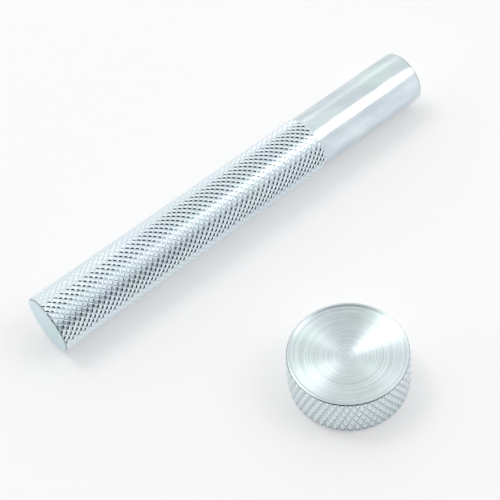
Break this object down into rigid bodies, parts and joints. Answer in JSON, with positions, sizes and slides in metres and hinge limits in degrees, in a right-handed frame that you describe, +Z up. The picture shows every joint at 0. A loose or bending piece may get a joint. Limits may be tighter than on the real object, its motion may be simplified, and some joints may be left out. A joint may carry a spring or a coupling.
{
  "type": "hand snap and rivet setting tool",
  "caption": "Hand setting tool for snaps and cap rivets: a knurled steel setter rod and a round knurled anvil with a dished top.",
  "frame": {"origin": "centre of the anvil's flat underside, on the surface that both pieces stand on", "axes": "+Z up, out of the anvil's dish; +X along the lying setter rod, from its striking face to its working face; the rod lies on the +Y side of the anvil"},
  "size_m": [0.1016, 0.0679, 0.0131],
  "materials": {
    "rod_zinc": "bright clear zinc plate over turned and diamond-knurled steel, faint blue-green tint",
    "anvil_zinc": "bright clear zinc plate, knurled side, dish with concentric turning rings"
  },
  "bodies": {
    "anvil": {"anvil": "anvil_zinc"},
    "setter_rod": {"setter_rod": "rod_zinc"}
  },
  "joints": [
    {"name": "rod_lift", "type": "slide", "parent": "anvil", "child": "setter_rod", "axis": [0, 0, 1], "range_m": [0, 0.12]}
  ]
}
